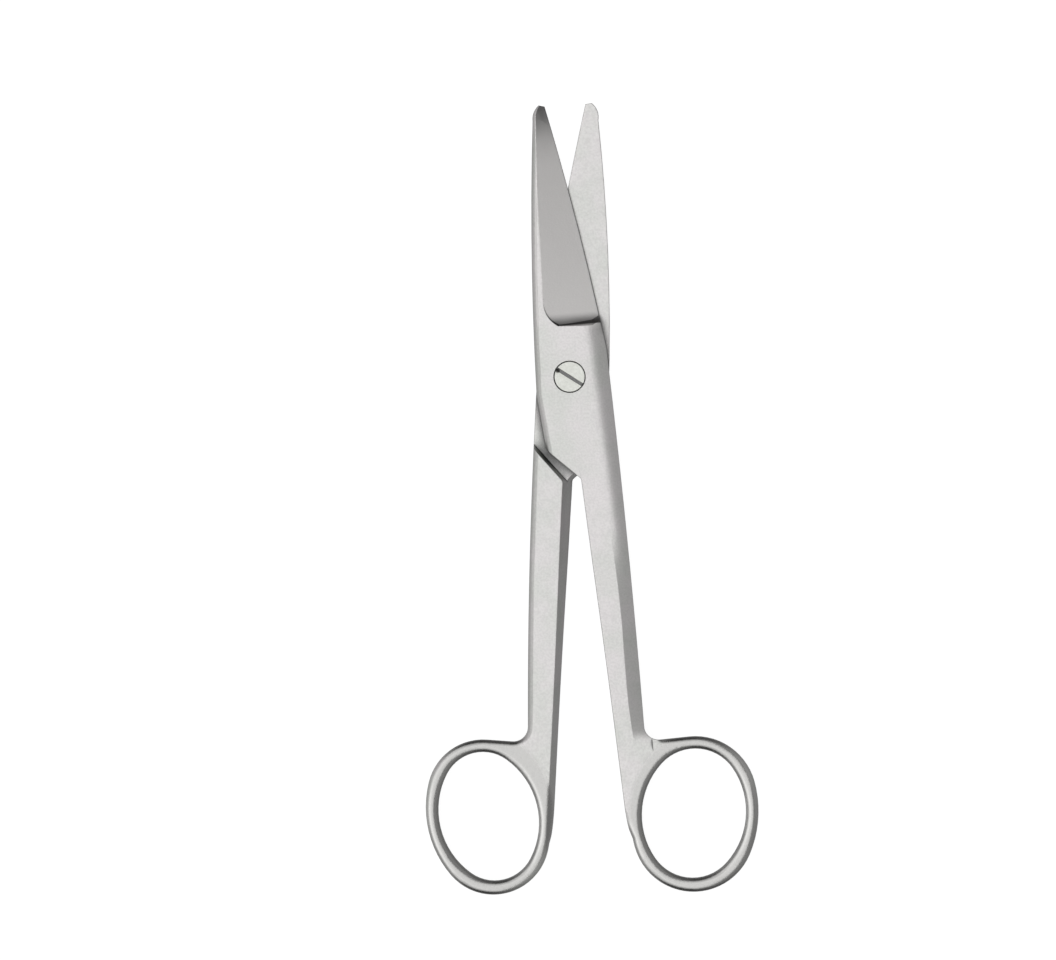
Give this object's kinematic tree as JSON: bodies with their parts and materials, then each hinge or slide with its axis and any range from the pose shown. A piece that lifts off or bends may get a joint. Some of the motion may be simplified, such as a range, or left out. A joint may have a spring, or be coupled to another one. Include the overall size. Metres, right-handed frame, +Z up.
{
  "type": "dissecting scissors",
  "caption": "Straight steel dissecting scissors with blunt tips, ground bevels, nesting slanted shanks, oval finger rings and a slotted pivot screw.",
  "frame": {"origin": "on the pivot axis, at the outer face of the rear half that the scissors lie on", "axes": "+Y from the pivot towards the blade tips, midway between the halves as they lie, +Z up along the pivot axis towards the screw's head, +X to the right seen from above"},
  "size_m": [0.0711, 0.1694, 0.0058],
  "materials": {
    "forged_steel": "satin",
    "screw_steel": "satin"
  },
  "bodies": {
    "rear": {"rear_half": "forged_steel", "pivot_screw": "screw_steel"},
    "front": {"front_half": "forged_steel"}
  },
  "joints": [
    {"name": "pivot", "type": "hinge", "parent": "rear", "child": "front", "pos_m": [0, 0, 0], "axis": [0, 0, 1], "range_deg": [-10, 114]}
  ]
}
